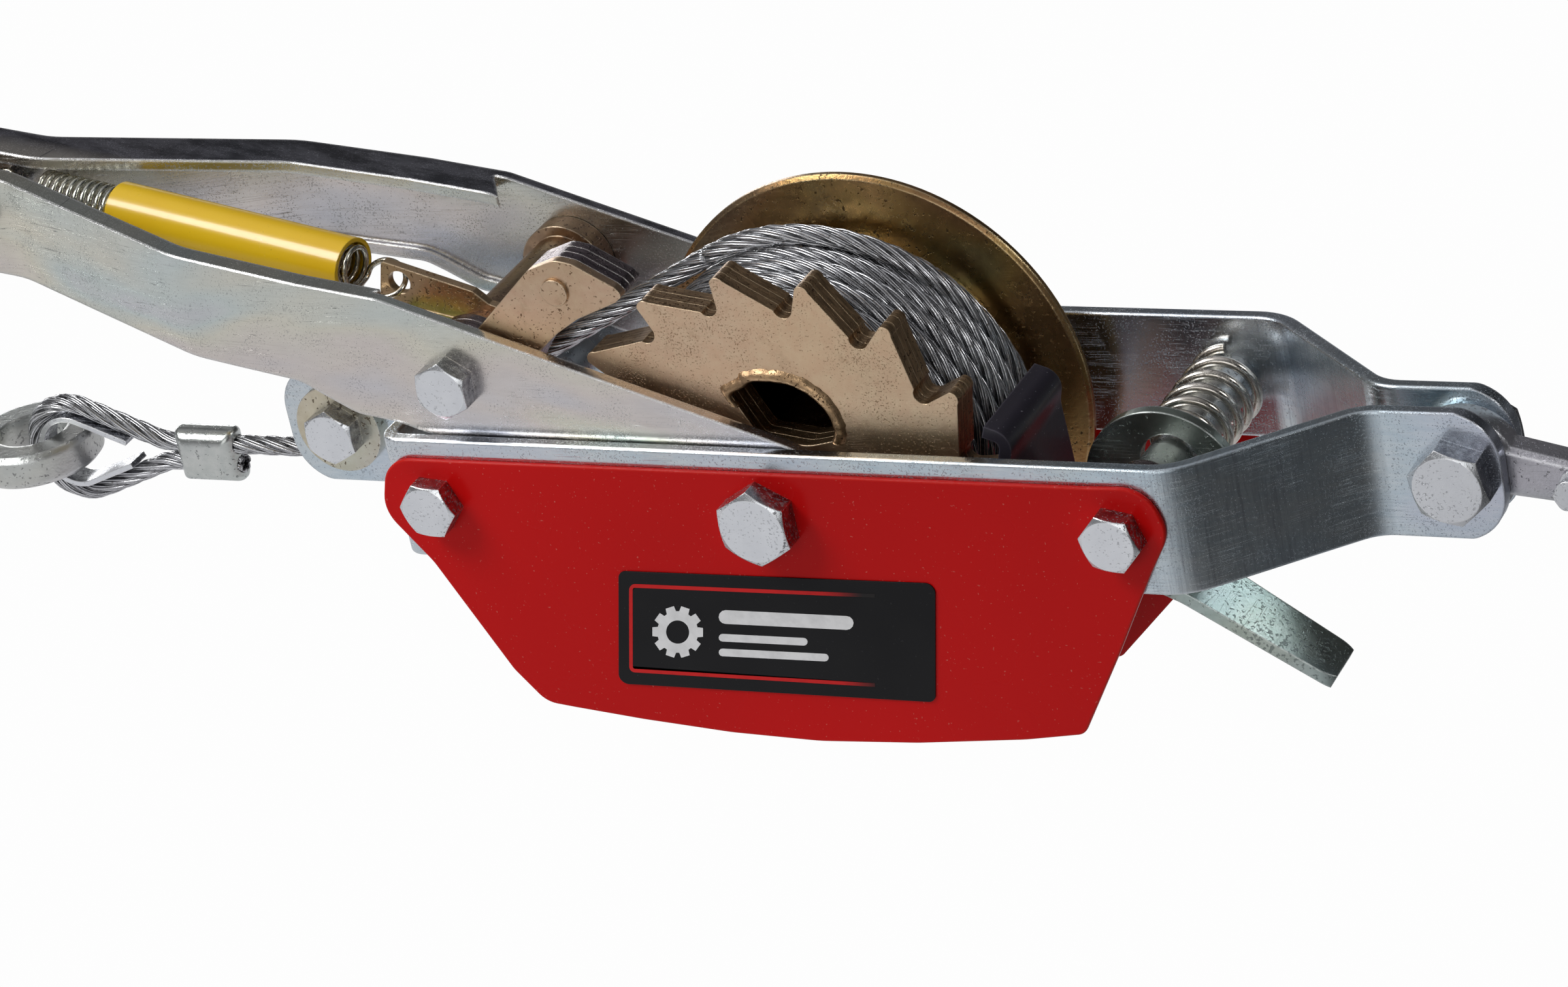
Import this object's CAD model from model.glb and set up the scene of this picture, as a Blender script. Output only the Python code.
# A hand ratchet puller: a rope drum and toothed wheel between two straps, worked by a handle.
# The drum axle runs along Y through x = AXLE_X, z = 0. The rope and its hook lie towards -X
# and the anchor end towards +X. The near side, with the label, faces -Y. +Z is up.
# Metres in the scene; lengths multiplied by MM are millimetres, laid out from the axle.
import math
import random

import bmesh
import bpy
from mathutils import Matrix, Vector


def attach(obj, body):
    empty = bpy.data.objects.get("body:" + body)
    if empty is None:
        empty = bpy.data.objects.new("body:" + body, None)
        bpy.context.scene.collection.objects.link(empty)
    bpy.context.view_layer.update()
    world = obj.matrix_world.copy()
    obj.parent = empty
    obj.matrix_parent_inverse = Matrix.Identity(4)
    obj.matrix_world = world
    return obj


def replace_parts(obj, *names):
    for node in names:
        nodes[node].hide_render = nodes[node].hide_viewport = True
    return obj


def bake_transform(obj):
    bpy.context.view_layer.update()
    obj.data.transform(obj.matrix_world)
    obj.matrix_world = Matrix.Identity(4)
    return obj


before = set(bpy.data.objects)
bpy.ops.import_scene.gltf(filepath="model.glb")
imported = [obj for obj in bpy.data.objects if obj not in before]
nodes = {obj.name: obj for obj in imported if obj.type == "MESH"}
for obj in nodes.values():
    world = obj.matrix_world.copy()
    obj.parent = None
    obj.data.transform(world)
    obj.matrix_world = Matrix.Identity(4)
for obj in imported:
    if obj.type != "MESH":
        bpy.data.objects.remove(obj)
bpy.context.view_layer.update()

MM = 0.001
AXLE_X = -0.212
AXLE = Vector((AXLE_X, 0, 0))
scene = bpy.context.scene


# =====================================================================
# shader building
# =====================================================================
class Signal:
    """A shader socket with arithmetic: each operator adds one Math node."""

    def __init__(self, shader, socket):
        self.shader = shader
        self.socket = socket

    def __add__(self, other):
        return self.shader.math("ADD", self, other)

    def __radd__(self, other):
        return self.shader.math("ADD", other, self)

    def __sub__(self, other):
        return self.shader.math("SUBTRACT", self, other)

    def __rsub__(self, other):
        return self.shader.math("SUBTRACT", other, self)

    def __mul__(self, other):
        return self.shader.math("MULTIPLY", self, other)

    def __abs__(self):
        return self.shader.math("ABSOLUTE", self)


class Shader:
    """The node tree of a material or a world."""

    def __init__(self, owner):
        owner.use_nodes = True
        self.tree = owner.node_tree
        self.tree.nodes.clear()

    def put(self, socket, value):
        """Link a Signal or set a plain value; None leaves the socket alone."""
        if isinstance(value, Signal):
            self.tree.links.new(value.socket, socket)
        elif value is not None:
            if isinstance(value, tuple) and len(value) == 3 and socket.type == "RGBA":
                value = (*value, 1.0)
            socket.default_value = value

    def node(self, kind, inputs=None, **settings):
        node = self.tree.nodes.new(kind)
        for key, value in settings.items():
            setattr(node, key, value)
        for key, value in (inputs or {}).items():
            self.put(node.inputs[key], value)
        return node

    def value(self, kind, inputs=None, output=0, **settings):
        """Add a node and return one of its outputs."""
        return Signal(self, self.node(kind, inputs, **settings).outputs[output])

    def math(self, operation, first, second=None):
        return self.value("ShaderNodeMath", {0: first, 1: second}, operation=operation)

    def split(self, vector):
        node = self.node("ShaderNodeSeparateXYZ", {0: vector})
        return [Signal(self, socket) for socket in node.outputs]

    def ramp(self, value, low, high, start=0.0, end=1.0, smooth=False):
        """start at low to end at high, held flat beyond them; low may exceed high."""
        limits = {"Value": value, "From Min": low, "From Max": high, "To Min": start, "To Max": end}
        return self.value("ShaderNodeMapRange", limits, clamp=True,
                          interpolation_type="SMOOTHSTEP" if smooth else "LINEAR")

    def mix(self, factor, first, second, mode="MIX"):
        return self.value("ShaderNodeMix", {0: factor, 6: first, 7: second}, output=2,
                          data_type="RGBA", blend_type=mode, clamp_factor=True)

    def colours(self, value, stops):
        """Colour ramp from (position, colour) stops."""
        node = self.node("ShaderNodeValToRGB", {0: value})
        elements = node.color_ramp.elements
        while len(elements) < len(stops):
            elements.new(0.5)
        for element, (position, colour) in zip(elements, stops):
            element.position = position
            element.color = (*colour, 1.0)
        return Signal(self, node.outputs[0])

    def camera_split(self, unseen, seen):
        """One shader for light and reflections, another for what the camera sees directly."""
        camera_ray = self.value("ShaderNodeLightPath", output="Is Camera Ray")
        return self.value("ShaderNodeMixShader", {0: camera_ray, 1: unseen, 2: seen})


class Material(Shader):
    """A material whose textures are measured from the drum axle."""

    def __init__(self, name):
        self.material = bpy.data.materials.new(name)
        super().__init__(self.material)
        place = self.value("ShaderNodeTexCoord", output="Object")
        self.point = self.mapping(place, location=(-AXLE_X, 0, 0))

    def mapping(self, vector, location=(0, 0, 0), rotation=(0, 0, 0), scale=(1, 1, 1)):
        return self.value("ShaderNodeMapping", {"Vector": vector, "Location": location,
                                                "Rotation": rotation, "Scale": scale})

    def mapped(self, **change):
        return self.mapping(self.point, **change)

    def noise(self, scale, detail=3, rough=0.5, vector=None, distortion=0.0):
        return self.value("ShaderNodeTexNoise", {
            "Vector": vector or self.point, "Scale": scale, "Detail": detail,
            "Roughness": rough, "Distortion": distortion}, output="Fac")

    def noise_ramp(self, scale, low, high, start=0.0, end=1.0, **noise):
        return self.ramp(self.noise(scale, **noise), low, high, start, end)

    def thin_lines(self, noise, width):
        """1 along the contour where a noise crosses its middle value."""
        return self.ramp(abs(noise - 0.5), width, 0.0)

    def true_normal(self):
        return self.split(self.value("ShaderNodeNewGeometry", output="True Normal"))

    def rounded(self, radius):
        """The surface normal with edges rounded to a radius."""
        bevel = self.node("ShaderNodeBevel", {"Radius": radius}, samples=4)
        return Signal(self, bevel.outputs[0])

    def edge_mask(self, rounded):
        """1 where the rounded normal leaves the flat one."""
        normal = self.value("ShaderNodeNewGeometry", output="Normal")
        agreement = self.value("ShaderNodeVectorMath", {0: rounded, 1: normal},
                               output="Value", operation="DOT_PRODUCT")
        return self.ramp((1.0 - agreement) * 6.0, 0.02, 0.5)

    def bump(self, height, distance, strength=1.0, normal=None):
        return self.value("ShaderNodeBump", {"Strength": strength, "Distance": distance,
                                             "Height": height, "Normal": normal})

    def finish(self, colour, rough, metallic, normal, coat=None, specular=None,
               coat_rough=0.08):
        inputs = {"Base Color": colour, "Roughness": rough, "Metallic": metallic,
                  "Normal": normal, "Specular IOR Level": specular}
        if coat is not None:
            inputs["Coat Weight"] = coat
            inputs["Coat Roughness"] = coat_rough
        surface = self.value("ShaderNodeBsdfPrincipled", inputs)
        self.node("ShaderNodeOutputMaterial", {0: surface})
        return self.material


# =====================================================================
# metals
# =====================================================================
# tints of the thin oxide film, from (noise value, colour)
FILM_TINTS = [
    (0.30, (0.55, 0.62, 0.85)), (0.42, (0.90, 0.72, 0.60)), (0.50, (0.93, 0.86, 0.55)),
    (0.58, (0.62, 0.80, 0.72)), (0.70, (0.80, 0.62, 0.82)),
]


def metal(name, first, second, rough, rough_range, blotch, streak, speck, relief, edge_radius,
          edge=None, scratches=(), film=0.0, film_map=None, grain=1400, dirt=None, extra=None):
    """Worn metal in two blotched colours.

    rough, rough_range: middle roughness and its spread
    blotch, grain: noise scales of the colour patches and of the finest relief
    streak: (stretch along x, y, z; amount)
    speck: (amount, colour, noise scale) of small dull pits
    relief: bump height in metres
    edge_radius, edge: rounding in metres, and (colour, amount) of the rubbed edges
    scratches: (rotation, noise stretch, strength) for each direction
    film, film_map: amount and mapping of the rainbow film
    dirt: (amount, colour)
    extra: function that adds local detail to (colour, roughness, height)
    """
    mat = Material(name)
    patches = mat.noise(blotch, detail=4, rough=0.55)
    colour = mat.mix(mat.ramp(patches, 0.34, 0.68), first, second)
    streak_stretch, streak_amount = streak
    streaks = mat.noise(60, detail=5, rough=0.6, vector=mat.mapped(scale=streak_stretch))
    streak_tone = mat.mix(mat.ramp(streaks, 0.3, 0.7), (0.05, 0.05, 0.05), (1, 1, 1))
    colour = mat.mix(streak_amount, colour, streak_tone, "OVERLAY")
    if film > 0:
        waves = mat.noise(9, detail=2.5, distortion=0.6,
                          vector=mat.mapped(**(film_map or {"scale": (1.0, 1.0, 2.2)})))
        colour = mat.mix(film, colour, mat.colours(waves, FILM_TINTS), "MULTIPLY")
    roughness = (rough - rough_range / 2
                 + mat.noise(blotch * 3.1, detail=4, rough=0.6) * rough_range)
    height = mat.noise(grain, rough=0.6) * 0.6 + streaks * 0.7

    # pits, gathered where a coarser noise is high
    speck_amount, speck_colour, speck_scale = speck
    speckle = mat.noise(speck_scale, detail=2.5, rough=0.6)
    threshold = (0.5 - mat.noise(speck_scale * 0.06)) * 0.35 + 0.615
    pits = mat.ramp(speckle - threshold, 0.0, 0.035) * speck_amount
    colour = mat.mix(pits, colour, speck_colour)
    roughness = roughness + pits * 0.35
    height = height - pits * 1.2

    for k, (rotation, stretch, strength) in enumerate(scratches):
        vector = mat.mapped(location=(0.01 * k, 0, 0), rotation=rotation, scale=stretch)
        lines = mat.thin_lines(mat.noise(5, detail=1.5, rough=0.4, vector=vector), 0.006)
        breaks = mat.noise_ramp(55, 0.52, 0.6, detail=2,
                                vector=mat.mapped(location=(0.3 + k, 0, 0)))
        marks = lines * breaks * strength
        colour = mat.mix(marks, colour, (0.18, 0.18, 0.18))
        height = height - marks * 2.0
    if dirt:
        dirt_amount, dirt_colour = dirt
        grime = mat.noise_ramp(130, 0.56, 0.72, detail=6, rough=0.75) * dirt_amount
        colour = mat.mix(grime, colour, dirt_colour)
        roughness = roughness + grime * 0.2
    if extra:
        colour, roughness, height = extra(mat, colour, roughness, height)
    rounded = mat.rounded(edge_radius)
    if edge:
        edge_colour, edge_amount = edge
        worn = mat.edge_mask(rounded) * mat.noise_ramp(700, 0.30, 0.55, 0.35, 1.0, rough=0.7)
        colour = mat.mix(worn * edge_amount, colour, edge_colour)
    return mat.finish(colour, roughness, 1.0, mat.bump(height, relief, normal=rounded))


def strap_extra(mat, colour, rough, height):
    """Fine upright grinding lines near the bend at the anchor end."""
    x = mat.split(mat.point)[0]
    lines = mat.noise(1, detail=4, rough=0.7, vector=mat.mapped(scale=(1500, 60, 60)))
    zone = mat.ramp(x, 0.088, 0.100) * mat.ramp(x, 0.150, 0.118)
    colour = mat.mix(zone * mat.ramp(lines, 0.45, 0.7) * 0.45, colour, (0.25, 0.26, 0.30))
    return colour, rough + zone * 0.06, height + lines * zone * 1.2


def handle_extra(mat, colour, rough, height):
    """Draw lines down the arms, and local wear on the far arm."""
    vector = mat.mapped(rotation=(0, -0.345, 0), scale=(2.2, 2.2, 240))
    lines = mat.thin_lines(mat.noise(5, detail=1, rough=0.3, vector=vector), 0.0045)
    lines = lines * mat.noise_ramp(14, 0.50, 0.56, detail=2)
    colour = mat.mix(lines * 0.7, colour, (0.14, 0.14, 0.15))
    # upward faces of the far arm are rubbed dark, with pale scuffs
    y = mat.split(mat.point)[1]
    normal = mat.true_normal()
    top = mat.ramp(normal[2], 0.80, 0.93) * mat.ramp(y, 0.004, 0.010)
    scuffs = mat.noise_ramp(70, 0.42, 0.60, detail=5, rough=0.7,
                            vector=mat.mapped(scale=(1.0, 2.6, 1.0)))
    rubbed = mat.mix(scuffs, (0.085, 0.085, 0.11), (0.30, 0.30, 0.35))
    colour = mat.mix(top * 0.92, colour, rubbed)
    # its faces towards -Y are darker in patches
    side = (mat.ramp(normal[1], -0.6, -0.9) * mat.ramp(y, 0.004, 0.010)
            * mat.noise_ramp(26, 0.40, 0.62, rough=0.6))
    colour = mat.mix(side * 0.45, colour, (0.34, 0.36, 0.38))
    return colour, rough, height - lines


def bolt_extra(mat, colour, rough, height):
    """Darker mottled flats round the axis; pale dull faces towards -Y."""
    normal = mat.true_normal()
    flats = mat.ramp(abs(normal[1]), 0.35, 0.12) * mat.ramp(normal[0], -0.35, 0.25, 0.35, 1.0)
    mottle = mat.noise_ramp(420, 0.38, 0.60, detail=5, rough=0.75)
    mottled = mat.mix(mottle, (0.10, 0.10, 0.125), (0.42, 0.43, 0.46))
    colour = mat.mix(flats * 0.85, colour, mottled)
    ends = mat.ramp(normal[1], -0.90, -0.98)
    colour = mat.mix(ends * 0.6, colour, (0.86, 0.88, 0.91))
    return colour, rough + ends * 0.12, height


# colours across the bracket's floor, from y = -28 mm to -14 mm
BRACKET_RAINBOW = [
    (0.0, (0.45, 0.26, 0.10)), (0.35, (0.62, 0.40, 0.16)), (0.55, (0.60, 0.22, 0.28)),
    (0.72, (0.55, 0.50, 0.12)), (0.86, (0.22, 0.42, 0.16)), (1.0, (0.50, 0.36, 0.18)),
]
TICK_ROW_PITCH = 0.0034
TICK_PITCH = 0.00085


def bracket_extra(mat, colour, rough, height):
    """Rows of pressed ticks on the bracket's floor, under a rainbow film."""
    x, y, z = mat.split(mat.point)
    zone = mat.ramp(z, 0.0425, 0.0415) * mat.ramp(x, -0.084, -0.086)
    zone = zone * (mat.ramp(y, -0.0282, -0.0275) * mat.ramp(y, -0.0140, -0.0148))
    wavy = y + (mat.noise(120, detail=2) - 0.5) * 0.002
    rainbow = mat.colours(mat.ramp(wavy, -0.028, -0.014), BRACKET_RAINBOW)
    colour = mat.mix(zone * 0.85, colour, rainbow)
    rows = mat.ramp(mat.math("SINE", y * (2 * math.pi / TICK_ROW_PITCH)), 0.1, 0.5)
    ticks = mat.ramp(mat.math("SINE", x * (2 * math.pi / TICK_PITCH)), -0.1, 0.6)
    cuts = rows * ticks * zone
    colour = mat.mix(cuts * 0.75, colour, (0.07, 0.035, 0.02))
    return colour, rough, height - cuts * 4.0


looks = {}
looks["frame"] = metal(
    "frame_zinc", (0.70, 0.76, 0.83), (0.60, 0.69, 0.77), rough=0.22, rough_range=0.10,
    blotch=14, streak=((3, 3, 14), 0.16), speck=(0.45, (0.22, 0.24, 0.28), 1900),
    scratches=[((0, 0.02, 0), (5, 5, 500), 0.35), ((0, 0.9, 0), (9, 9, 260), 0.175)],
    film=0.18, edge_radius=0.0007, edge=((0.95, 0.96, 0.98), 0.75), relief=0.00003,
    extra=strap_extra)
looks["handle"] = metal(
    "handle_zinc", (0.80, 0.79, 0.77), (0.72, 0.73, 0.75), rough=0.26, rough_range=0.10,
    blotch=16, streak=((3, 3, 12), 0.12), speck=(0.35, (0.22, 0.22, 0.24), 2000),
    scratches=[((0, -0.34, 0), (5, 5, 480), 0.315), ((0, 0.8, 0), (9, 9, 300), 0.135)],
    film=0.42, film_map={"rotation": (0, -0.33, 0), "scale": (0.8, 0.8, 3.4)},
    edge_radius=0.0011, edge=((1.0, 1.0, 1.0), 1.0), relief=0.00003, extra=handle_extra)
looks["bolt"] = metal(
    "bolt_zinc", (0.82, 0.84, 0.86), (0.68, 0.70, 0.73), rough=0.26, rough_range=0.14,
    blotch=110, streak=((8, 8, 8), 0.10), speck=(0.75, (0.16, 0.16, 0.17), 1500),
    edge_radius=0.00045, edge=((1.0, 1.0, 1.0), 1.0), relief=0.00005, grain=2200,
    dirt=(0.15, (0.2, 0.2, 0.21)), extra=bolt_extra)
looks["wheel"] = metal(
    "wheel_face", (0.74, 0.535, 0.36), (0.66, 0.485, 0.335), rough=0.36, rough_range=0.10,
    blotch=28, streak=((6, 6, 6), 0.08), speck=(0.55, (0.24, 0.14, 0.07), 1900),
    scratches=[((0, 0.3, 0), (8, 8, 200), 0.1)], film=0.12,
    edge_radius=0.0004, edge=((0.86, 0.70, 0.48), 0.7), relief=0.00007,
    dirt=(0.35, (0.33, 0.21, 0.12)))
looks["wheel_edge"] = metal(
    "wheel_edges", (0.46, 0.31, 0.18), (0.32, 0.21, 0.12), rough=0.38, rough_range=0.16,
    blotch=120, streak=((3, 22, 3), 0.5), speck=(0.9, (0.06, 0.035, 0.02), 1300), film=0.1,
    edge_radius=0.0004, edge=((0.80, 0.62, 0.40), 0.9), relief=0.00015,
    dirt=(0.5, (0.07, 0.045, 0.025)))
looks["flange"] = metal(
    "flange_yellow_zinc", (0.52, 0.36, 0.17), (0.34, 0.20, 0.12), rough=0.27,
    rough_range=0.12, blotch=30, streak=((6, 6, 6), 0.12),
    speck=(0.9, (0.09, 0.06, 0.03), 900), scratches=[((0, 0.5, 0), (8, 8, 200), 0.1)],
    film=0.65, film_map={"scale": (2.4, 2.4, 2.4)},
    edge_radius=0.0006, edge=((0.80, 0.66, 0.40), 0.85), relief=0.00008,
    dirt=(0.3, (0.10, 0.07, 0.04)))
looks["tube"] = metal(
    "tube_brown", (0.42, 0.30, 0.20), (0.22, 0.15, 0.12), rough=0.30, rough_range=0.16,
    blotch=45, streak=((6, 1.5, 6), 0.25), speck=(0.8, (0.08, 0.05, 0.04), 900),
    scratches=[((0, 0, 0), (300, 6, 300), 0.18)], film=0.3,
    edge_radius=0.0005, edge=((0.75, 0.62, 0.45), 0.6), relief=0.00008,
    dirt=(0.4, (0.06, 0.04, 0.03)))
looks["bracket"] = metal(
    "bracket_tan", (0.70, 0.50, 0.345), (0.60, 0.44, 0.28), rough=0.34, rough_range=0.12,
    blotch=40, streak=((6, 6, 6), 0.10), speck=(0.80, (0.15, 0.08, 0.04), 1300), film=0.25,
    edge_radius=0.0005, edge=((0.88, 0.72, 0.50), 0.8), relief=0.00008,
    dirt=(0.4, (0.28, 0.17, 0.09)), extra=bracket_extra)
looks["pawl"] = metal(
    "pawl_laminations", (0.30, 0.25, 0.25), (0.16, 0.13, 0.15), rough=0.27,
    rough_range=0.14, blotch=90, streak=((3, 16, 3), 0.4),
    speck=(0.9, (0.03, 0.025, 0.03), 1200), film=0.15,
    edge_radius=0.0005, edge=((0.88, 0.84, 0.80), 0.9), relief=0.00014,
    dirt=(0.5, (0.05, 0.04, 0.04)))
looks["carrier"] = metal(
    "carrier_zinc", (0.50, 0.57, 0.53), (0.40, 0.48, 0.46), rough=0.28, rough_range=0.12,
    blotch=26, streak=((5, 5, 5), 0.12), speck=(0.6, (0.15, 0.18, 0.18), 1000),
    scratches=[((0, 0.5, 0), (8, 8, 260), 0.15)], film=0.2,
    edge_radius=0.0006, edge=((0.86, 0.90, 0.88), 0.8), relief=0.00005)
looks["sleeve_zinc"] = metal(
    "sleeve_zinc", (0.66, 0.69, 0.69), (0.52, 0.56, 0.57), rough=0.28, rough_range=0.12,
    blotch=60, streak=((6, 2, 6), 0.18), speck=(0.7, (0.15, 0.16, 0.17), 1000), film=0.15,
    edge_radius=0.0004, edge=((0.92, 0.94, 0.94), 0.7), relief=0.00006)
looks["spring"] = metal(
    "spring_wire", (0.80, 0.78, 0.72), (0.60, 0.58, 0.52), rough=0.20, rough_range=0.10,
    blotch=160, streak=((8, 8, 8), 0.12), speck=(0.5, (0.12, 0.10, 0.08), 1500), film=0.25,
    edge_radius=0.0002, relief=0.00003)
looks["hook"] = metal(
    "hook_forged", (0.66, 0.68, 0.69), (0.52, 0.54, 0.56), rough=0.34, rough_range=0.14,
    blotch=36, streak=((6, 6, 6), 0.10), speck=(0.6, (0.18, 0.18, 0.19), 900),
    scratches=[((0, 0.5, 0), (8, 8, 200), 0.1)], film=0.25,
    edge_radius=0.0012, edge=((0.90, 0.91, 0.92), 0.6), relief=0.00010,
    dirt=(0.2, (0.3, 0.3, 0.3)))
looks["washer"] = metal(
    "washer_zinc", (0.72, 0.68, 0.58), (0.60, 0.55, 0.46), rough=0.30, rough_range=0.12,
    blotch=60, streak=((6, 6, 6), 0.12), speck=(0.8, (0.16, 0.12, 0.08), 900), film=0.3,
    edge_radius=0.0004, edge=((0.92, 0.90, 0.84), 0.8), relief=0.00006,
    dirt=(0.4, (0.25, 0.18, 0.10)))


def rope_material():
    """Wires drawn in the strand's UV: u runs along it, v goes round it."""
    mat = Material("wire_rope")
    along, around, _ = mat.split(mat.value("ShaderNodeTexCoord", output="UV"))
    phase = around * 7.0 + along * 1.0
    wires = abs(mat.math("SINE", phase * math.pi))
    crown = mat.ramp(wires, 0.0, 0.45)
    colour = mat.mix(mat.noise_ramp(60, 0.35, 0.65), (0.78, 0.79, 0.81), (0.62, 0.62, 0.64))
    colour = mat.mix(mat.noise_ramp(900, 0.60, 0.72, detail=2, rough=0.6), colour,
                     (0.30, 0.29, 0.28))
    colour = mat.mix(crown, (0.05, 0.05, 0.055), colour)
    # darkest where "inner" is low, on the strand's side away from the rope's middle
    inner = mat.value("ShaderNodeAttribute", output="Fac", attribute_name="inner")
    colour = mat.mix(mat.ramp(inner, 0.12, 0.55), colour, (0.03, 0.03, 0.035))
    rough = mat.value("ShaderNodeMix", {0: crown, 2: 0.55, 3: 0.24}, data_type="FLOAT")
    return mat.finish(colour, rough, 0.95, mat.bump(wires, 0.00022))


def red_enamel():
    """Glossy red with fine dust, paler rubbed edges and a few chips."""
    mat = Material("guard_red_enamel")
    colour = mat.mix(mat.noise_ramp(9, 0.3, 0.7, detail=2), (0.60, 0.004, 0.004),
                     (0.50, 0.003, 0.003))
    peel = mat.noise(520, detail=2)
    dust = mat.noise_ramp(1500, 0.735, 0.76, detail=1)
    colour = mat.mix(dust * 0.35, colour, (0.65, 0.25, 0.2))
    rounded = mat.rounded(0.0006)
    edges = mat.edge_mask(rounded)
    colour = mat.mix(edges * 0.55, colour, (0.72, 0.07, 0.04))
    chips = edges * mat.noise_ramp(330, 0.66, 0.70, detail=4, rough=0.7)
    colour = mat.mix(chips, colour, (0.30, 0.02, 0.02))
    normal = mat.bump(peel, 0.000006, strength=0.5, normal=rounded)
    return mat.finish(colour, 0.22 + mat.noise(40) * 0.10, 0.0, normal,
                      coat=0.05, specular=0.10, coat_rough=0.10)


def plastic(name, first, second, rough, relief=0.00005, grain=700, edge_colour=None,
            edge_radius=0.0006, coat=0.0, speck=None, specular=None):
    """Moulded plastic; speck is (amount, colour), lengths are in metres."""
    mat = Material(name)
    colour = mat.mix(mat.noise_ramp(25, 0.35, 0.65), first, second)
    if speck:
        speck_amount, speck_colour = speck
        specks = mat.noise_ramp(1500, 0.70, 0.74, detail=2, rough=0.6) * speck_amount
        colour = mat.mix(specks, colour, speck_colour)
    rounded = mat.rounded(edge_radius)
    if edge_colour:
        colour = mat.mix(mat.edge_mask(rounded) * 0.6, colour, edge_colour)
    roughness = rough - 0.04 + mat.noise(90, detail=4, rough=0.6) * 0.10
    normal = mat.bump(mat.noise(grain, rough=0.6), relief, strength=0.8, normal=rounded)
    return mat.finish(colour, roughness, 0.0, normal, coat=coat, specular=specular)


def print_ink(name, ink, fade=False):
    """Label ink; a fading one darkens towards +X."""
    mat = Material(name)
    worn_ink = tuple(0.86 * channel for channel in ink)
    colour = mat.mix(mat.noise_ramp(300, 0.4, 0.7, rough=0.6), ink, worn_ink)
    if fade:
        x = mat.split(mat.point)[0]
        colour = mat.mix(mat.ramp(x, 0.0095, 0.0225, smooth=True), colour,
                         (0.014, 0.012, 0.012))
    rough = 0.30 + mat.noise(80, detail=2) * 0.08
    normal = mat.bump(mat.noise(900, detail=2), 0.00001, strength=0.5)
    return mat.finish(colour, rough, 0.0, normal, coat=0.0, specular=0.2)


looks["rope"] = rope_material()
looks["red"] = red_enamel()
looks["yellow"] = plastic(
    "sleeve_yellow_pvc", (0.88, 0.56, 0.010), (0.84, 0.50, 0.008), rough=0.25,
    relief=0.00003, grain=300, edge_colour=(0.95, 0.66, 0.05), coat=0.5,
    speck=(0.3, (0.12, 0.08, 0.02)))
looks["grip"] = plastic(
    "grip_rubber", (0.022, 0.022, 0.023), (0.032, 0.032, 0.033), rough=0.62,
    relief=0.00020, grain=900, edge_colour=(0.07, 0.07, 0.07), edge_radius=0.0015,
    speck=(0.3, (0.10, 0.10, 0.10)))
looks["thumb"] = plastic(
    "thumb_black_satin", (0.016, 0.014, 0.021), (0.024, 0.021, 0.030), rough=0.32,
    relief=0.00004, grain=600, edge_colour=(0.12, 0.11, 0.14), coat=0.1,
    speck=(0.7, (0.45, 0.43, 0.48)), specular=0.3)
looks["label"] = plastic(
    "label_film", (0.010, 0.010, 0.011), (0.014, 0.014, 0.015), rough=0.34,
    relief=0.000005, grain=400, edge_colour=(0.03, 0.03, 0.03), edge_radius=0.0002,
    speck=(0.1, (0.2, 0.2, 0.2)), specular=0.12)
looks["bush"] = plastic("bush_polymer", (0.06, 0.06, 0.06), (0.09, 0.09, 0.09), rough=0.5)
looks["print_red"] = print_ink("print_red", (0.62, 0.012, 0.012), fade=True)
looks["print_white"] = print_ink("print_white", (0.80, 0.80, 0.80))


# =====================================================================
# materials and shading of the CAD pieces
# =====================================================================
RATCHET_PLATES = "ratchet_plate_1 ratchet_plate_2 ratchet_plate_3"
PAINT = [  # look, pieces
    ("frame", "frame_strap_near frame_strap_far"),
    ("red", "guard_plate_near guard_plate_far release_lever"),
    ("label", "guard_label"),
    ("bolt", "axle_bolt axle_nut corner_bolts corner_nuts guide_bolt guide_nut nose_bolt "
     "nose_nut pawl_pivot_bolt pawl_pivot_nut handle_rivet spring_anchor_pin anchor_latch "
     "anchor_latch_rivet rope_latch rope_latch_rivet stop_pawl_rivet guide_roller "
     "rope_thimble"),
    ("tube", "axle_sleeve axle_spacers drum_hub drum_barrel handle_spacer drive_pawl_tube"),
    ("sleeve_zinc", "spacer_tube stop_pawl_sleeve rope_ferrule"),
    ("washer", "guide_washers"),
    ("bush", "drum_bushes"),
    ("flange", "drum_flange"),
    ("wheel", RATCHET_PLATES),
    ("handle", "handle_arm_near handle_arm_far"),
    ("grip", "handle_grip"),
    ("yellow", "spring_sleeve"),
    ("bracket", "drive_pawl_bracket drive_pawl_rivet"),
    ("pawl", "drive_pawl_plate_1 drive_pawl_plate_2 drive_pawl_plate_3 "
     "stop_pawl_plate_1 stop_pawl_plate_2 stop_pawl_plate_3"),
    ("carrier", "stop_pawl_carrier"),
    ("thumb", "stop_pawl_thumb_plate"),
    ("spring", "stop_pawl_spring return_spring"),
    ("rope", "wound_rope rope_tail"),
    ("hook", "anchor_hook rope_hook"),
]
FACE_NORMAL_Y = 0.75    # a plate's flat faces have at least this much Y in their normal
SHARP_ANGLE = math.radians(32)

for look, names in PAINT:
    for name in names.split():
        slots = nodes[name].data.materials
        slots.clear()
        slots.append(looks[look])

# a second material on the sheared edges of the wheel's plates
for name in RATCHET_PLATES.split():
    mesh = nodes[name].data
    mesh.materials.append(looks["wheel_edge"])
    for polygon in mesh.polygons:
        polygon.material_index = 1 if abs(polygon.normal.y) < FACE_NORMAL_Y else 0

for piece in nodes.values():
    if not piece.data.has_custom_normals:
        piece.data.shade_smooth()
        piece.data.set_sharp_from_angle(angle=SHARP_ANGLE)


# =====================================================================
# geometry helpers
# =====================================================================
def link_object(name, data):
    made = bpy.data.objects.new(name, data)
    scene.collection.objects.link(made)
    return made


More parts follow.
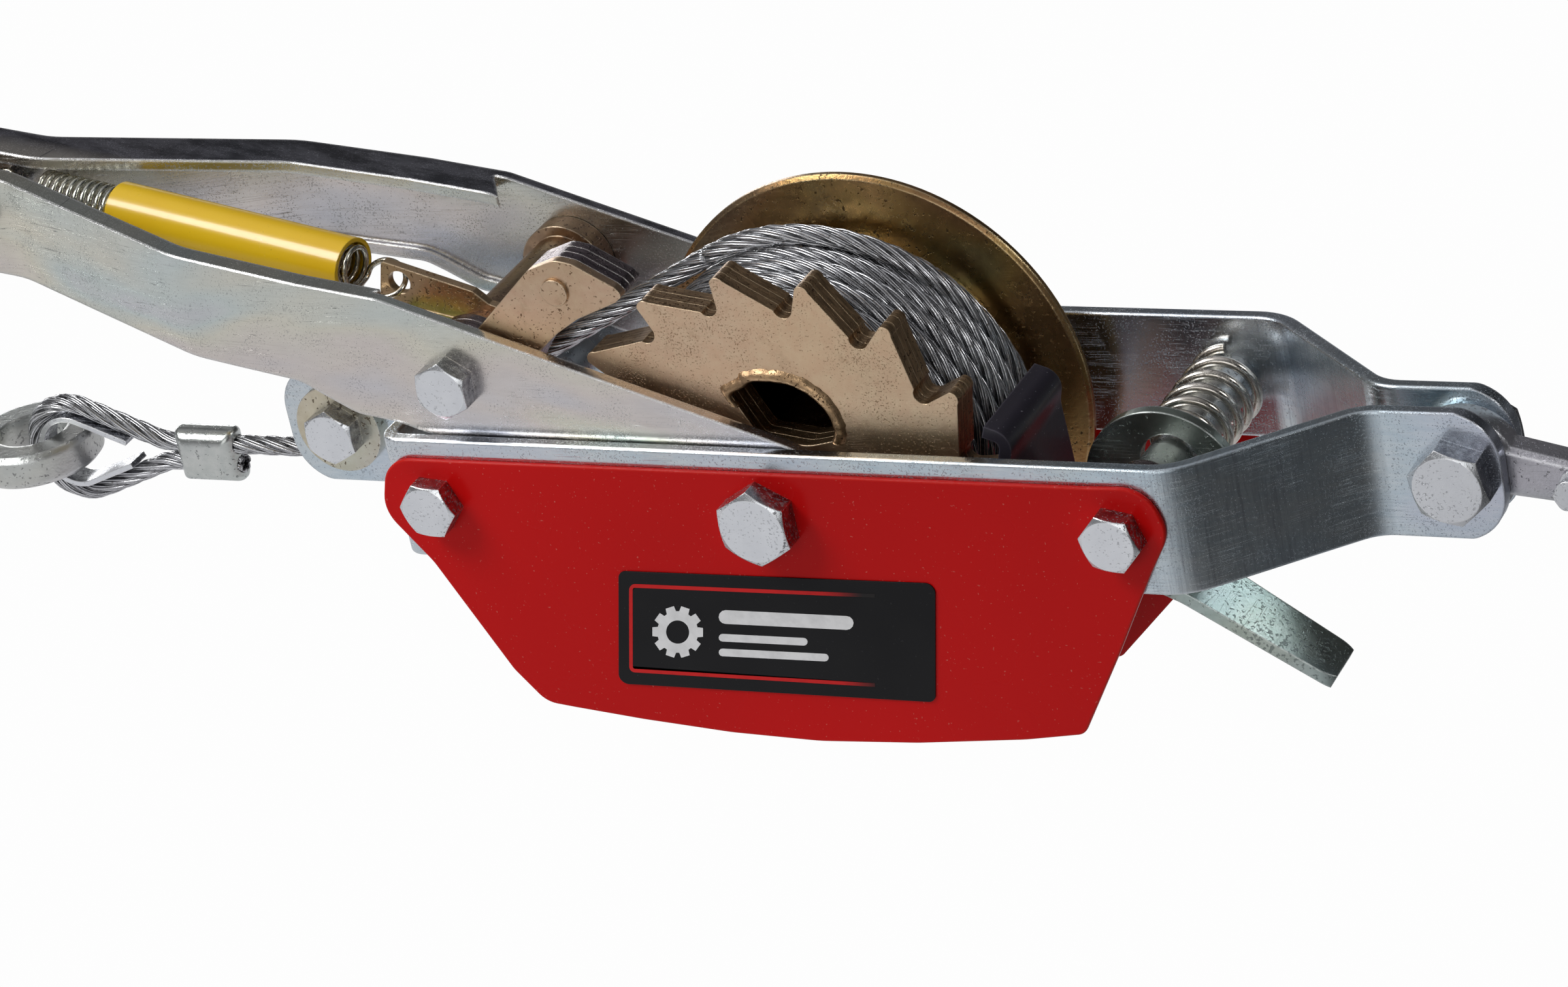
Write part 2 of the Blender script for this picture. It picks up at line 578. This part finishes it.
def add_mesh(name, verts, faces, look, body, smooth=True, uvs=None, inner=None):
    """Mesh object from points measured from the axle; uvs has one tuple per face."""
    mesh = bpy.data.meshes.new(name)
    mesh.from_pydata([(v[0] + AXLE_X, v[1], v[2]) for v in verts], [], faces)
    mesh.validate()
    if smooth:
        mesh.shade_smooth()
    if uvs is not None:
        layer = mesh.uv_layers.new(name="UVMap")
        for polygon in mesh.polygons:
            for loop, uv in zip(polygon.loop_indices, uvs[polygon.index]):
                layer.data[loop].uv = uv
    if inner is not None:
        attribute = mesh.attributes.new("inner", "FLOAT", "POINT")
        attribute.data.foreach_set("value", inner)
    mesh.materials.append(looks[look])
    made = link_object(name, mesh)
    if body:
        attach(made, body)
    return made


def lerp(start, end, fraction):
    return start + (end - start) * fraction


def smooth_step(fraction):
    fraction = min(max(fraction, 0), 1)
    return fraction * fraction * (3 - 2 * fraction)


def look_up(x, table):
    """Straight-line interpolation in (x, value) rows, held flat beyond the ends."""
    if x <= table[0][0]:
        return table[0][1]
    for (x0, value0), (x1, value1) in zip(table, table[1:]):
        if x <= x1:
            return lerp(value0, value1, (x - x0) / (x1 - x0))
    return table[-1][1]


def arc(x, z, radius, start, end, steps):
    angles = [start + (end - start) * i / steps for i in range(steps + 1)]
    return [(x + radius * math.cos(angle), z + radius * math.sin(angle)) for angle in angles]


def catmull_rom(controls, steps):
    """Smooth curve through the controls, stopping one step short of the last."""
    points = []
    last = len(controls) - 1
    for i in range(last):
        p0, p1, p2, p3 = [controls[min(max(j, 0), last)] for j in range(i - 1, i + 3)]
        for k in range(steps):
            t = k / steps
            points.append(0.5 * ((2 * p1) + (p2 - p0) * t + (2 * p0 - 5 * p1 + 4 * p2 - p3) * t * t
                                 + (3 * p1 - p0 - 3 * p2 + p3) * t ** 3))
    return points


def distances(path):
    """Distance along the path to each of its points."""
    result = [0.0]
    for start, end in zip(path, path[1:]):
        result.append(result[-1] + (end - start).length)
    return result


def resample(path, step):
    along = distances(path)
    count = max(2, int(along[-1] / step) + 1)
    result = []
    j = 0
    for i in range(count):
        target = along[-1] * i / (count - 1)
        while j < len(along) - 2 and along[j + 1] < target:
            j += 1
        fraction = (target - along[j]) / max(along[j + 1] - along[j], 1e-12)
        result.append(path[j].lerp(path[j + 1], min(max(fraction, 0), 1)))
    return result


def tangent_at(path, i):
    return (path[min(i + 1, len(path) - 1)] - path[max(i - 1, 0)]).normalized()


def cross_axes(path):
    """Two axes across the path at each point, carried along without twist."""
    result = []
    normal = None
    for i in range(len(path)):
        tangent = tangent_at(path, i)
        if normal is None:
            normal = Vector((0, 1, 0)) if abs(tangent.y) < 0.9 else Vector((1, 0, 0))
        normal = (normal - tangent * normal.dot(tangent)).normalized()
        result.append((normal, tangent.cross(normal)))
    return result


def grid_faces(rows, columns, first=0, close_rows=False, close_columns=True):
    """Quads over rows of vertices that start at index first."""
    faces = []
    for i in range(rows if close_rows else rows - 1):
        row = first + i * columns
        following = first + (i + 1) % rows * columns
        for k in range(columns if close_columns else columns - 1):
            k2 = (k + 1) % columns
            faces.append((row + k, row + k2, following + k2, following + k))
    return faces


def append_tube(verts, faces, rings, centres):
    """Add rings joined into a tube, with a fan of triangles over each end."""
    first = len(verts)
    sides = len(rings[0])
    for ring in rings:
        verts.extend(ring)
    faces.extend(grid_faces(len(rings), sides, first))
    for index, flip in ((0, True), (len(rings) - 1, False)):
        hub = len(verts)
        verts.append(centres[index])
        base = first + index * sides
        for k in range(sides):
            k2 = (k + 1) % sides
            faces.append((hub, base + k2, base + k) if flip else (hub, base + k, base + k2))


# =====================================================================
# rope: wound on the drum, then out to the hook end
# =====================================================================
STRANDS = 6
STRAND_SIDES = 9
STRAND_OFFSET = 1.62 * MM    # from the rope's middle to a strand's
STRAND_RADIUS = 0.93 * MM
STRAND_WIDENING = 1.06       # strand width round the rope, over its depth
STRAND_PITCH = 38 * MM
ROPE_STEP = 1.5 * MM
WIRE_PITCH = 7.5 * MM        # length of one unit of u


def add_rope(name, path, body, start=0.0):
    """Six strands laid round a path; start is the rope length already used before it."""
    path = resample(path, ROPE_STEP)
    axes = cross_axes(path)
    along = distances(path)
    turns = [2 * math.pi * k / STRAND_SIDES for k in range(STRAND_SIDES)]
    verts, faces, uvs, inner = [], [], [], []
    for strand in range(STRANDS):
        outward = []
        for (across, other), distance in zip(axes, along):
            angle = 2 * math.pi * ((distance + start) / STRAND_PITCH + strand / STRANDS)
            outward.append(across * math.cos(angle) + other * math.sin(angle))
        centres = [point + out * STRAND_OFFSET for point, out in zip(path, outward)]
        rings = []
        for i, (centre, out) in enumerate(zip(centres, outward)):
            tangent = tangent_at(centres, i)
            depth = (out - tangent * out.dot(tangent)).normalized()
            width = tangent.cross(depth)
            rings.append([
                centre + depth * (math.cos(turn) * STRAND_RADIUS)
                + width * (math.sin(turn) * STRAND_RADIUS * STRAND_WIDENING)
                for turn in turns])
            inner += [(1 - math.cos(turn)) / 2 for turn in turns]
        append_tube(verts, faces, rings, centres)
        inner += [0.5, 0.5]
        for i in range(len(centres) - 1):
            u0 = (along[i] + start) / WIRE_PITCH
            u1 = (along[i + 1] + start) / WIRE_PITCH
            for k in range(STRAND_SIDES):
                v0 = k / STRAND_SIDES
                v1 = (k + 1) / STRAND_SIDES
                uvs.append(((u0, v0), (u0, v1), (u1, v1), (u1, v0)))
        uvs += [((0, 0), (0, 0.1), (0.1, 0.1))] * (2 * STRAND_SIDES)
    made = add_mesh(name, verts, faces, "rope", body, uvs=uvs, inner=inner)
    return made


# millimetres
ROPE_RADIUS = 2.6
ROPE_Y = 2.0                  # plane of the outgoing rope
EXIT_RADIUS = 52.3            # rope centre where it leaves the drum
ROLLER_RADIUS = 8.2
ROLLER_X = -134.4
BEND_RADIUS = ROLLER_RADIUS + ROPE_RADIUS
EXIT_SLOPE = math.asin((EXIT_RADIUS + BEND_RADIUS) / abs(ROLLER_X))
EXIT_ANGLE = math.pi / 2 + EXIT_SLOPE

TURN_STEPS = 72
CROSSING_TURNS = 0.62
OUTER_TURNS = 5.75
LOWER_TURNS = 7.6
OUTER_FAR_Y = 12.6
OUTER_NEAR_Y = -16.6
LOWER_FAR_Y = 21.0
CROSSING_END_RADIUS = 44.9
# rope centre on each layer: y, radius
OUTER_LAYER = [(-17.2, 43.4), (-12, 44.9), (-6, 46.3), (0, 47.1), (5, 46.9), (10, 45.4),
               (13, 44.6)]
LOWER_LAYER = [(-17.2, 38.8), (-10, 40.5), (0, 42.3), (8, 42.6), (13, 43.4), (17, 42.3),
               (21.2, 40.2)]
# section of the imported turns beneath: y, radius
CORE_PROFILE = [(-19.0, 35.0), (-18.6, 37.6), (-10, 39.0), (0, 40.6), (8, 41.0), (13, 40.6),
                (18, 39.4), (22.6, 37.0), (23.0, 35.0)]
CORE_SEGMENTS = 96


def on_drum(radius, angle, y):
    return Vector((radius * math.cos(angle), y, radius * math.sin(angle))) * MM


def drum_path():
    """Rope centre from where it leaves the drum down to the start of the lower layer."""
    points = []
    # the last turn crosses to the far side and sinks onto the outer layer
    for i in range(int(TURN_STEPS * CROSSING_TURNS)):
        turn = i / TURN_STEPS
        y = lerp(ROPE_Y, OUTER_FAR_Y, smooth_step(turn / 0.42))
        radius = lerp(EXIT_RADIUS, CROSSING_END_RADIUS, smooth_step(turn / 0.50))
        points.append(on_drum(radius, EXIT_ANGLE - 2 * math.pi * turn, y))
    # outer layer, back to the near side
    for i in range(int(TURN_STEPS * OUTER_TURNS)):
        angle = EXIT_ANGLE - 2 * math.pi * (CROSSING_TURNS + i / TURN_STEPS)
        done = i / (TURN_STEPS * OUTER_TURNS)
        y = (lerp(OUTER_FAR_Y, OUTER_NEAR_Y, done)
             + 0.7 * math.sin(angle + 0.6) * math.sin(math.pi * done))
        radius = look_up(y, OUTER_LAYER) + 0.25 * math.sin(3 * angle + 5 * done)
        points.append(on_drum(radius, angle, y))
    # down to the layer beneath and across to the far side
    layer_drop = OUTER_LAYER[0][1] - LOWER_LAYER[0][1]
    for i in range(int(TURN_STEPS * LOWER_TURNS)):
        angle = EXIT_ANGLE - 2 * math.pi * (CROSSING_TURNS + OUTER_TURNS + i / TURN_STEPS)
        done = i / (TURN_STEPS * LOWER_TURNS)
        y = lerp(OUTER_NEAR_Y, LOWER_FAR_Y, done)
        radius = (look_up(y, LOWER_LAYER) + layer_drop * (1 - smooth_step(done * 14))
                  + 0.2 * math.sin(2 * angle))
        points.append(on_drum(radius, angle, y))
    return points


def wound_rope():
    path = drum_path()[::-1]
    made = add_rope("rope_wound_strands", path, "drum", start=-distances(path)[-1])
    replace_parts(made, "wound_rope")


def inner_turns():
    """Plain body under the layers, seen only in the gaps."""
    verts = [on_drum(radius, 2 * math.pi * i / CORE_SEGMENTS, y)
             for i in range(CORE_SEGMENTS) for y, radius in CORE_PROFILE]
    faces = grid_faces(CORE_SEGMENTS, len(CORE_PROFILE), close_rows=True, close_columns=False)
    made = add_mesh("rope_inner_turns", verts, faces, "spring", "drum")


# millimetres
UPPER_LEG_Z = -BEND_RADIUS
LOWER_LEG_Z = UPPER_LEG_Z - 5.4
LOOP_Z = (UPPER_LEG_Z + LOWER_LEG_Z) / 2
LOOP_X = -222.0
LOOP_RADIUS = 12.7
LEGS_PART_X = -194.0          # where the tangents to the loop start


def tail_path():
    """From the drum, under the roller, round the end loop and back alongside."""
    reach_x = LEGS_PART_X - LOOP_X
    reach_z = UPPER_LEG_Z - LOOP_Z
    touch = math.atan2(reach_z, reach_x) + math.acos(LOOP_RADIUS / math.hypot(reach_x, reach_z))
    points = [(EXIT_RADIUS * math.cos(EXIT_ANGLE), EXIT_RADIUS * math.sin(EXIT_ANGLE))]
    points += arc(ROLLER_X, 0, BEND_RADIUS, -math.pi / 2 + EXIT_SLOPE, -math.pi / 2, 8)
    points += [(-192.0, UPPER_LEG_Z), (-195.0, UPPER_LEG_Z + 0.35)]
    points += arc(LOOP_X, LOOP_Z, LOOP_RADIUS, touch, 2 * math.pi - touch, 26)
    points += [(-195.0, LOWER_LEG_Z - 0.35), (-192.0, LOWER_LEG_Z), (-171.6, LOWER_LEG_Z)]
    return [Vector((x, ROPE_Y, z)) * MM for x, z in points]


wound_rope()
inner_turns()
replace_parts(add_rope("rope_tail_strands", tail_path(), "frame"), "rope_tail")


# =====================================================================
# pawl return spring: a close-wound coil with hooked ends
# =====================================================================
SPRING_START = Vector((-106.0, -12.6, 46.4)) * MM
SPRING_END = Vector((-219.0, 3.6, 61.0)) * MM
SPRING_DIRECTION = (SPRING_END - SPRING_START).normalized()
COIL_INSET = 8.0 * MM         # bare length at each end
COIL_RADIUS = 5.1 * MM
COIL_PITCH = 2.35 * MM
COIL_START_ANGLE = 3.9
COIL_TURN_STEPS = 20
SPRING_WIRE_RADIUS = 0.72 * MM
SPRING_WIRE_SIDES = 8
END_HOOK_CENTRE = Vector((-222.0, 3.6, 61.3)) * MM
END_HOOK_RADIUS = 3.8 * MM
# ring at the pawl end, through the hole in the tab: x, y, z
PAWL_RING = [
    (-113.8, -14.0, 42.4), (-108.6, -16.4, 42.6), (-103.6, -17.4, 43.0),
    (-100.6, -16.2, 43.9), (-100.2, -13.2, 45.2), (-101.8, -10.2, 46.6),
    (-104.8, -8.6, 47.8), (-108.6, -8.0, 48.0), (-111.9, -8.6, 46.6), (-113.2, -10.2, 44.2),
]


def spring_path():
    direction = SPRING_DIRECTION
    across = (Vector((0, 0, 1)) - direction * direction.z).normalized()
    other = direction.cross(across)

    def coil_point(distance, angle):
        radial = across * math.cos(angle) + other * math.sin(angle)
        return SPRING_START + direction * distance + radial * COIL_RADIUS

    first = coil_point(COIL_INSET, COIL_START_ANGLE)
    controls = [Vector(point) * MM for point in PAWL_RING]
    points = catmull_rom(controls + [first - direction * 1.2 * MM, first], 8)
    length = (SPRING_END - SPRING_START).length - 2 * COIL_INSET
    turns = length / COIL_PITCH
    steps = int(turns * COIL_TURN_STEPS)
    for i in range(steps + 1):
        angle = COIL_START_ANGLE + 2 * math.pi * turns * i / steps
        points.append(coil_point(COIL_INSET + length * i / steps, angle))
    # a straight lead-in to the hook at the handle end, then its arc
    last = points[-1]
    lead_end = END_HOOK_CENTRE + Vector((3.6 * MM, 0, 1.5 * MM))
    points += [last.lerp(lead_end, k / 4) for k in range(1, 4)]
    for k in range(4, 17):
        angle = math.pi * 1.55 * k / 16
        points.append(END_HOOK_CENTRE
                      + Vector((math.cos(angle), 0, math.sin(angle))) * END_HOOK_RADIUS)
    return points


def return_spring():
    path = spring_path()
    turns = [2 * math.pi * k / SPRING_WIRE_SIDES for k in range(SPRING_WIRE_SIDES)]
    rings = [[point + (across * math.cos(turn) + other * math.sin(turn)) * SPRING_WIRE_RADIUS
              for turn in turns]
             for point, (across, other) in zip(path, cross_axes(path))]
    verts, faces = [], []
    append_tube(verts, faces, rings, path)
    made = add_mesh("return_spring_coil", verts, faces, "spring", None)
    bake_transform(made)
    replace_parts(made, "return_spring")


return_spring()


# =====================================================================
# label print: an open red outline and a plain pictogram (millimetres)
# =====================================================================
# The print is drawn on a sheet with sloping top and bottom, then fitted to the label.
SHEET_LEFT = -45.5
SHEET_WIDTH = 83.5
LABEL_TOP = ((-41.7, -16.3), (41.4, -15.0))        # left and right corners: x, z
LABEL_BOTTOM = ((-48.8, -47.8), (35.4, -47.2))
PRINT_YS = (-41.25, -41.19)


def sheet_top(x):
    return -16.2 + (x - SHEET_LEFT) * (-2.4 / SHEET_WIDTH)


def sheet_bottom(x):
    return -46.0 + (x - SHEET_LEFT) * (-3.6 / SHEET_WIDTH)


def on_label(x, z):
    """From the sheet onto the four corners of the label."""
    u = (x - SHEET_LEFT) / SHEET_WIDTH
    v = (sheet_top(x) - z) / (sheet_top(x) - sheet_bottom(x))
    top, bottom = [[left[i] * (1 - u) + right[i] * u for i in (0, 1)]
                   for left, right in (LABEL_TOP, LABEL_BOTTOM)]
    return tuple(top[i] * (1 - v) + bottom[i] * v for i in (0, 1))


def print_plate(name, outline, look):
    """Thin plate from an outline of x, z points on the sheet."""
    outline = [on_label(x, z) for x, z in outline]
    bm = bmesh.new()
    near, far = [[bm.verts.new((x * MM + AXLE_X, y * MM, z * MM)) for x, z in outline]
                 for y in PRINT_YS]
    count = len(outline)
    bm.faces.new(near)
    bm.faces.new(far[::-1])
    for i in range(count):
        j = (i + 1) % count
        bm.faces.new((near[i], far[i], far[j], near[j]))
    bmesh.ops.triangulate(bm, faces=[face for face in bm.faces if len(face.verts) > 4])
    bmesh.ops.recalc_face_normals(bm, faces=bm.faces)
    mesh = bpy.data.meshes.new(name)
    bm.to_mesh(mesh)
    bm.free()
    mesh.materials.append(looks[look])
    made = link_object(name, mesh)
    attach(made, "frame")


def label_outline():
    """A band along the top, left and bottom, open towards +X."""
    width, corner, margin = 0.95, 1.6, 3.2
    left, right = -42.6, 22.5
    x = left + corner
    upper_z = sheet_top(left) - margin - corner
    lower_z = sheet_bottom(left) + margin + corner
    top = sheet_top(right) - margin
    bottom = sheet_bottom(right) + margin
    half, full = math.pi / 2, math.pi
    points = [(right, top)]
    points += arc(x, upper_z, corner, half, full, 6)
    points += arc(x, lower_z, corner, full, full + half, 6)
    points += [(right, bottom), (right, bottom + width)]
    points += arc(x, lower_z, corner - width, full + half, full, 6)
    points += arc(x, upper_z, corner - width, full, half, 6)
    points += [(right, top - width)]
    print_plate("label_outline", points, "print_red")


GEAR_CENTRE = (-29.5, -32.0)
GEAR_TEETH = 10
GEAR_HOLE_RADIUS = 3.1
# one tooth: angle from its middle in radians, radius
GEAR_TOOTH = [(-0.17, 6.9), (0.17, 6.9), (0.24, 5.5), (0.39, 5.5)]


def label_gear():
    x, z = GEAR_CENTRE
    rim = []
    for k in range(GEAR_TEETH):
        middle = 2 * math.pi * k / GEAR_TEETH
        for offset, radius in GEAR_TOOTH:
            rim.append((x + radius * math.cos(middle + offset),
                        z + radius * math.sin(middle + offset)))
    count = len(rim)
    hole = arc(x, z, GEAR_HOLE_RADIUS, 0, 2 * math.pi, count)[:-1]
    outline = [on_label(*point) for point in rim + hole]
    verts = [(px * MM, y * MM, pz * MM) for y in PRINT_YS for px, pz in outline]
    faces = []
    for i in range(count):
        j = (i + 1) % count
        faces.append((i, j, count + j, count + i))
        faces.append((2 * count + j, 2 * count + i, 3 * count + i, 3 * count + j))
        faces.append((j, i, 2 * count + i, 2 * count + j))
        faces.append((count + i, count + j, 3 * count + j, 3 * count + i))
    made = add_mesh("label_gear", verts, faces, "print_white", "frame", smooth=False)


BAR_LEFT = -18.5
BAR_SLOPE = -0.036
BARS = [  # right end x, z at the left end, height
    (17.0, -27.8, 3.6),
    (5.0, -33.3, 2.0),
    (10.5, -37.2, 2.0),
]


def label_bar(name, right, left_z, height):
    """Round-ended bar beside the gear."""
    radius = height / 2
    points = []
    for x, start in ((right - radius, -math.pi / 2), (BAR_LEFT + radius, math.pi / 2)):
        z = left_z + (x - BAR_LEFT) * BAR_SLOPE
        points += arc(x, z, radius, start, start + math.pi, 6)
    print_plate(name, points, "print_white")


label_outline()
label_gear()
for number, bar in enumerate(BARS, 1):
    label_bar(f"label_bar_{number}", *bar)


# =====================================================================
# pressed lip round the ratchet wheel's window (millimetres)
# =====================================================================
LIP_Y = -29.0
WINDOW_CENTRE = Vector((4.0, 0, 19.0)) * MM
# run of the lip: x, z
LIP_RUN = [(-7.2, 23.0), (-8.6, 26.2), (-4.8, 28.4), (-2.5, 30.0), (2.0, 30.4), (8.0, 29.6),
           (13.0, 26.8), (16.4, 22.5), (17.4, 17.5), (16.0, 14.2)]
# section: distance outwards from the window's centre, y
LIP_SECTION = [(-0.4, 1.2), (-0.4, -0.7), (0.2, -1.15), (1.1, -1.2), (1.9, -0.7), (2.6, 0.15)]


def window_lip():
    rng = random.Random(4)
    path = [p * MM for p in catmull_rom([Vector((x, LIP_Y, z)) for x, z in LIP_RUN], 6)]
    verts = []
    for point in path:
        outward = point - WINDOW_CENTRE
        outward.y = 0
        outward.normalize()
        size = (1 + rng.uniform(-0.10, 0.10)) * MM
        verts += [point + outward * (out * size) + Vector((0, y * size, 0))
                  for out, y in LIP_SECTION]
    width = len(LIP_SECTION)
    faces = grid_faces(len(path), width, close_columns=False)
    faces.append(tuple(range(width)))
    faces.append(tuple(range(len(path) * width - 1, (len(path) - 1) * width - 1, -1)))
    made = add_mesh("ratchet_window_lip", verts, faces, "wheel_edge", "drum")


window_lip()


# =====================================================================
# floor, lights, world, camera
# =====================================================================
FLOOR_Z = -0.135
FLOOR_HALF = 6.0


def floor():
    """Even and pale to the camera; in reflections it falls off towards the anchor end."""
    mesh = bpy.data.meshes.new("floor")
    corners = [(-1, -1), (1, -1), (1, 1), (-1, 1)]
    mesh.from_pydata([(x * FLOOR_HALF, y * FLOOR_HALF, FLOOR_Z) for x, y in corners],
                     [], [(0, 1, 2, 3)])
    mat = Material("floor_pale")
    x, y, _ = mat.split(mat.point)
    falloff = (mat.ramp(x, 0.02, 0.30, 0.62, 0.05, smooth=True)
               * mat.ramp(y, -1.6, -0.5, 0.45, 1.0, smooth=True))
    level = falloff + (mat.noise(7, detail=2) - 0.5) * 0.22
    glow = mat.mix(level, (0.0, 0.0, 0.0), (1.0, 1.0, 1.03))
    reflected = mat.value("ShaderNodeEmission", {"Color": glow})
    seen = mat.value("ShaderNodeEmission", {"Color": (0.985, 0.985, 0.985)})
    mat.node("ShaderNodeOutputMaterial", {0: mat.camera_split(reflected, seen)})
    mesh.materials.append(mat.material)
    link_object("floor", mesh)


def area_light(name, location, size, energy, size_y=None):
    """Area light aimed at the axle; location is measured from it."""
    light = bpy.data.lights.new(name, "AREA")
    light.energy = energy
    light.size = size
    if size_y:
        light.shape = "RECTANGLE"
        light.size_y = size_y
    made = bpy.data.objects.new(name, light)
    made.location = (location[0] + AXLE_X, location[1], location[2])
    made.rotation_euler = (-Vector(location)).to_track_quat("-Z", "Y").to_euler()
    scene.collection.objects.link(made)


# brightness of the surroundings by direction: component from -1 to 1, level
SKY_BY_Z = [(-1.0, 0.45), (-0.05, 0.50), (0.08, 0.42), (0.22, 0.16), (0.40, 0.07),
            (0.62, 0.10), (0.80, 0.40), (1.0, 0.75)]
SKY_BY_X = [(-1.0, 1.0), (-0.25, 1.0), (0.30, 0.30), (1.0, 0.16)]


def studio_world():
    """Graded surroundings for light and reflections, plain white to the camera."""
    world = bpy.data.worlds.new("studio")
    sky = Shader(world)
    x, _, z = sky.split(sky.value("ShaderNodeTexCoord", output="Generated"))

    def grade(component, table):
        stops = [((position + 1) / 2, (level, level, level * 1.02))
                 for position, level in table]
        return sky.colours(sky.ramp(component, -1, 1), stops)

    graded = sky.mix(1.0, grade(z, SKY_BY_Z), grade(x, SKY_BY_X), "MULTIPLY")
    unseen = sky.value("ShaderNodeBackground", {0: graded, 1: 1.0})
    seen = sky.value("ShaderNodeBackground", {0: (1, 1, 1), 1: 1.0})
    sky.node("ShaderNodeOutputWorld", {0: sky.camera_split(unseen, seen)})
    scene.world = world


CAMERA_AZIMUTH = math.radians(30.14)      # from -Y towards +X
CAMERA_ELEVATION = math.radians(26.625)
CAMERA_ROLL = math.radians(11.928)
CAMERA_DISTANCE = 1208.86 * MM
CAMERA_TARGET = Vector((-16.803, 0, -16.768)) * MM + AXLE


def add_camera():
    sin_a, cos_a = math.sin(CAMERA_AZIMUTH), math.cos(CAMERA_AZIMUTH)
    sin_e, cos_e = math.sin(CAMERA_ELEVATION), math.cos(CAMERA_ELEVATION)
    sin_r, cos_r = math.sin(CAMERA_ROLL), math.cos(CAMERA_ROLL)
    back = Vector((sin_a * cos_e, -cos_a * cos_e, sin_e))
    level_right = Vector((cos_a, sin_a, 0))
    level_up = Vector((-sin_a * sin_e, cos_a * sin_e, cos_e))
    right = cos_r * level_right - sin_r * level_up
    up = sin_r * level_right + cos_r * level_up
    camera = bpy.data.cameras.new("camera")
    camera.sensor_width = 36.0
    camera.lens = 115.0194
    camera.clip_start = 0.05
    camera.clip_end = 50
    made = bpy.data.objects.new("camera", camera)
    pose = Matrix((right, up, back)).transposed().to_4x4()
    pose.translation = CAMERA_TARGET + back * CAMERA_DISTANCE
    made.matrix_world = pose
    scene.collection.objects.link(made)
    scene.camera = made


floor()
area_light("key_top_left", (-0.9, -0.7, 1.3), size=0.7, energy=15)
area_light("fill_front", (0.2, -1.8, 0.5), size=1.2, energy=6)
area_light("rim_right", (1.3, 0.0, 1.0), size=0.35, energy=3)
area_light("back_low", (-1.3, 1.2, 0.12), size=1.0, energy=4, size_y=0.12)
studio_world()
add_camera()
scene.view_settings.view_transform = "Standard"
scene.view_settings.look = "None"
